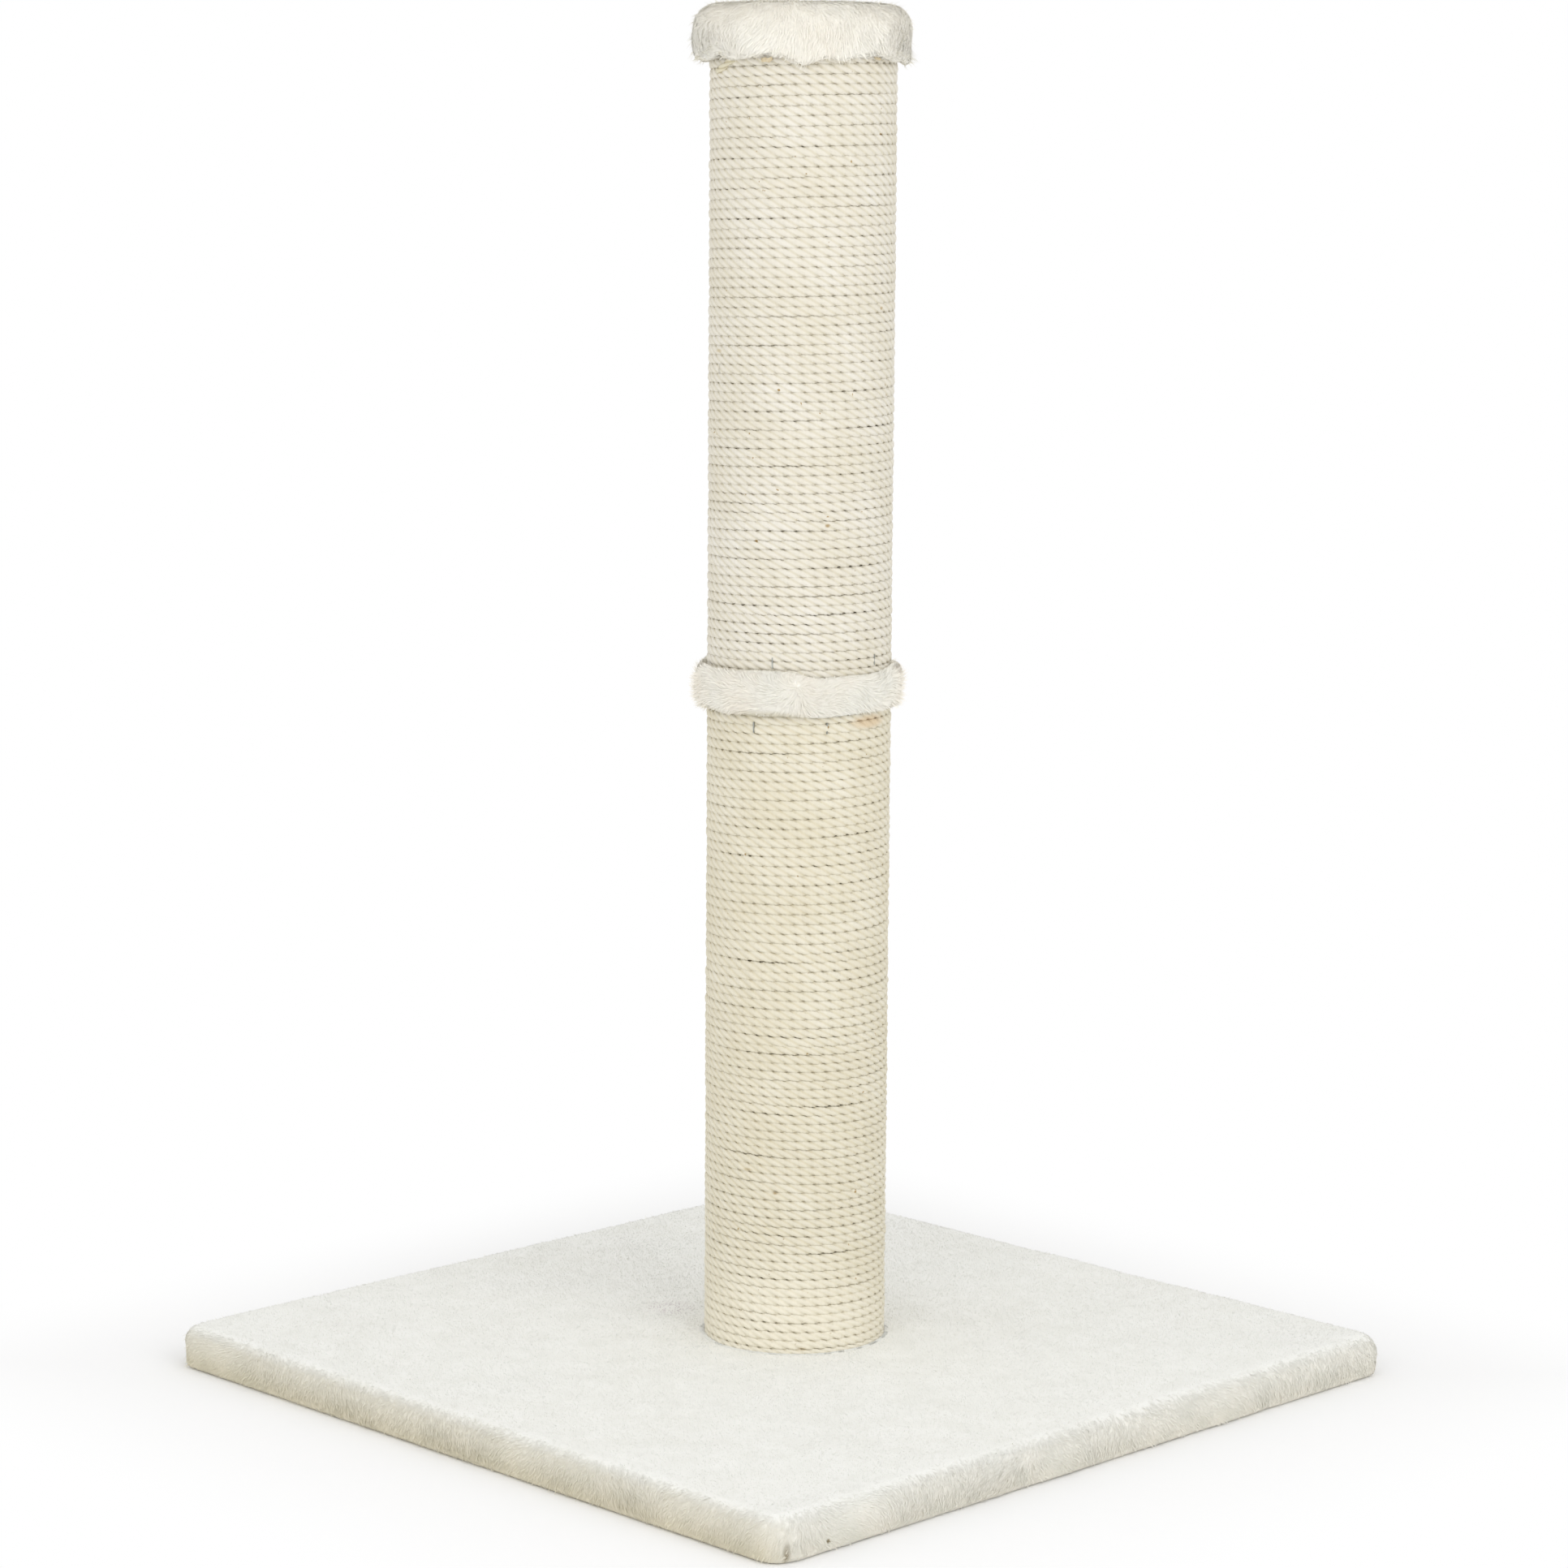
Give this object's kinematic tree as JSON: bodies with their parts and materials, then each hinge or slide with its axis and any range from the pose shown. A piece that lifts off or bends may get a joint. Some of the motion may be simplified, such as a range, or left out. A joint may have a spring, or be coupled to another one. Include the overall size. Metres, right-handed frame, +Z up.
{
  "type": "cat scratching post",
  "caption": "Free-standing cat scratching post: a round post wound in pale natural rope on a square plush-covered base, with a plush band at mid height and a plush cap.",
  "frame": {"origin": "on the floor under the middle of the square base", "axes": "+Z up along the post, X and Y along the edges of the base"},
  "size_m": [0.5, 0.5, 0.7795],
  "materials": {
    "plush": "near-white short-pile plush, matt, with brushed tufts",
    "rope": "pale cream three-strand natural fibre rope, matt and slightly hairy",
    "board": "raw fibreboard, matt tan",
    "cardboard": "spiral-wound brown cardboard, matt",
    "pine": "raw pine, matt",
    "zinc": "bright zinc plate"
  },
  "bodies": {
    "root": {"base_board": "board", "base_plush": "plush", "hem_staple_1": "zinc", "hem_staple_2": "zinc", "hem_staple_3": "zinc", "hem_staple_4": "zinc", "hem_staple_5": "zinc", "hem_staple_6": "zinc", "hem_staple_7": "zinc", "hem_staple_8": "zinc", "hem_staple_9": "zinc", "hem_staple_10": "zinc", "hem_staple_11": "zinc", "hem_staple_12": "zinc", "hem_staple_13": "zinc", "hem_staple_14": "zinc", "hem_staple_15": "zinc", "hem_staple_16": "zinc", "base_washer": "zinc", "base_bolt": "zinc", "lower_bottom_plug": "pine", "lower_top_plug": "pine", "upper_bottom_plug": "pine", "upper_top_plug": "pine", "lower_bottom_brad_1": "zinc", "lower_bottom_brad_2": "zinc", "lower_top_brad_1": "zinc", "lower_top_brad_2": "zinc", "upper_bottom_brad_1": "zinc", "upper_bottom_brad_2": "zinc", "upper_top_brad_1": "zinc", "upper_top_brad_2": "zinc", "lower_bottom_tee_nut": "zinc", "lower_top_tee_nut": "zinc", "upper_bottom_tee_nut": "zinc", "joining_stud": "zinc", "lower_tube": "cardboard", "upper_tube": "cardboard", "lower_rope": "rope", "upper_rope": "rope", "lower_rope_staple_1": "zinc", "lower_rope_staple_2": "zinc", "lower_rope_staple_3": "zinc", "lower_rope_staple_4": "zinc", "lower_rope_staple_5": "zinc", "upper_rope_staple_1": "zinc", "upper_rope_staple_2": "zinc", "upper_rope_staple_3": "zinc", "upper_rope_staple_4": "zinc", "upper_rope_staple_5": "zinc", "joint_band": "plush", "plush_cap": "plush"}
  },
  "joints": []
}
